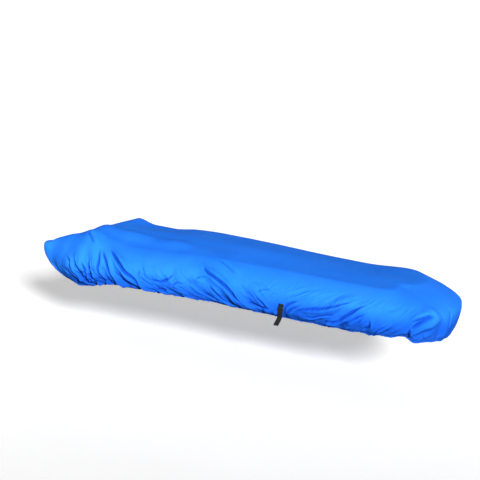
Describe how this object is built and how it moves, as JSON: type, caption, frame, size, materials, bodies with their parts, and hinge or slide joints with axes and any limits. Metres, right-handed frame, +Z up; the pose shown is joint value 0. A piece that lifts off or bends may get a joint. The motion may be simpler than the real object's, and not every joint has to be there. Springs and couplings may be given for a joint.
{
  "type": "boat cover",
  "caption": "Fitted boat cover of blue coated cloth with a gathered elastic hem and a black webbing strap, shaped as it hangs.",
  "frame": {"origin": "under the cloth of the top, on the middle line, where the cover is held up", "axes": "+X towards the blunt bow end, +Z up, -Y the side with the strap"},
  "size_m": [3.6266, 1.6911, 0.5095],
  "materials": {
    "coated_cloth": "fine weave with a thin coat, low sheen",
    "webbing": "matt woven webbing",
    "buckle_plastic": "moulded, low sheen"
  },
  "bodies": {
    "root": {"cover_cloth": "coated_cloth", "strap_patch": "webbing", "strap_webbing": "webbing", "strap_buckle": "buckle_plastic"}
  },
  "joints": []
}
